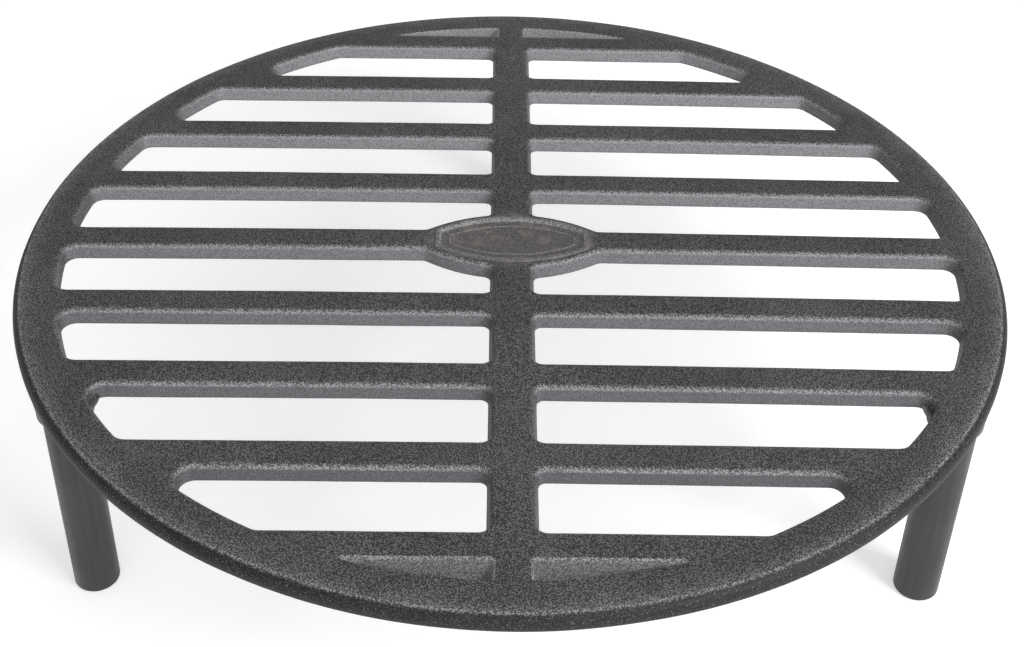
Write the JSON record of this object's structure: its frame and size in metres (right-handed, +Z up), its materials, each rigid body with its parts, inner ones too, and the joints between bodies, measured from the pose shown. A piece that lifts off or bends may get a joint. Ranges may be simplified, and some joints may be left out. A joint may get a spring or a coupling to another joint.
{
  "type": "log grate",
  "caption": "Round cast-iron log grate with slots on each side of a spine and a lens-shaped plaque at the centre, standing on round steel legs that unscrew from bosses under the rim.",
  "frame": {"origin": "under the centre of the disc, on the surface that the feet stand on", "axes": "+Z up, +Y to the rear leg along the spine, +X to the right along the cross bars"},
  "size_m": [0.406, 0.406, 0.1026],
  "materials": {
    "casting": "as cast, fine sand texture, dark charcoal",
    "leg_steel": "dull mill-finish bar, dark grey",
    "stud_steel": "bright threaded steel"
  },
  "bodies": {
    "plate": {"grate_plate": "casting"},
    "front_left_stud": {"stud_front_left": "stud_steel"},
    "front_left_leg": {"leg_front_left": "leg_steel"},
    "front_right_stud": {"stud_front_right": "stud_steel"},
    "front_right_leg": {"leg_front_right": "leg_steel"},
    "rear_stud": {"stud_rear": "stud_steel"},
    "rear_leg": {"leg_rear": "leg_steel"}
  },
  "joints": [
    {"name": "front_left_thread_travel", "type": "slide", "parent": "plate", "child": "front_left_stud", "axis": [0, 0, -1], "range_m": [0, 0.01]},
    {"name": "front_left_leg_turn", "type": "hinge", "parent": "front_left_stud", "child": "front_left_leg", "pos_m": [-0.16645, -0.0961, 0.0443], "axis": [0, 0, -1], "range_deg": [0, 2401]},
    {"name": "front_right_thread_travel", "type": "slide", "parent": "plate", "child": "front_right_stud", "axis": [0, 0, -1], "range_m": [0, 0.01]},
    {"name": "front_right_leg_turn", "type": "hinge", "parent": "front_right_stud", "child": "front_right_leg", "pos_m": [0.16645, -0.0961, 0.0443], "axis": [0, 0, -1], "range_deg": [0, 2401]},
    {"name": "rear_thread_travel", "type": "slide", "parent": "plate", "child": "rear_stud", "axis": [0, 0, -1], "range_m": [0, 0.01]},
    {"name": "rear_leg_turn", "type": "hinge", "parent": "rear_stud", "child": "rear_leg", "pos_m": [0, 0.1922, 0.0443], "axis": [0, 0, -1], "range_deg": [0, 2401]}
  ],
  "couplings": [
    {"joint": "front_left_leg_turn", "follows": "front_left_thread_travel", "rad_per_m": 4188.8},
    {"joint": "front_right_leg_turn", "follows": "front_right_thread_travel", "rad_per_m": 4188.8},
    {"joint": "rear_leg_turn", "follows": "rear_thread_travel", "rad_per_m": 4188.8}
  ]
}
